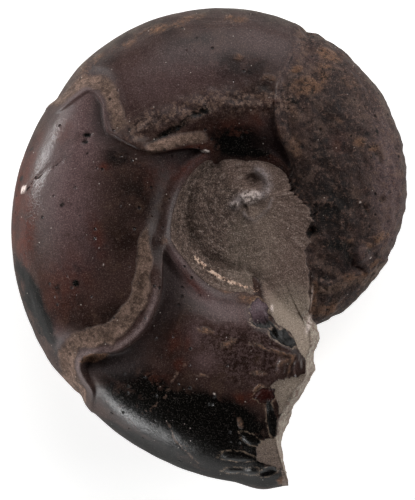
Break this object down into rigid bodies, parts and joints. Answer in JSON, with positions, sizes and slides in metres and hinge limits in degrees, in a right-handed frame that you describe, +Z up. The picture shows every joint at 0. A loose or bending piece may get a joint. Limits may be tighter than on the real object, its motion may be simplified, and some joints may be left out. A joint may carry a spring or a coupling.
{
  "type": "fossil ammonite",
  "caption": "Fossil ammonite: the dark stone mould of a smooth coiled shell with sinuous constrictions, sediment in its umbilicus and a broken end, lying on its flank.",
  "frame": {"origin": "middle of the underside of the fossil's box, on the surface it rests on", "axes": "+Z up through the flank that faces up, +Y along the longest diameter towards the side away from the broken end, +X towards the older side of the coil"},
  "size_m": [0.0408, 0.0492, 0.018],
  "materials": {
    "dark_stone": "satin"
  },
  "bodies": {
    "root": {"ammonite": "dark_stone"}
  },
  "joints": []
}
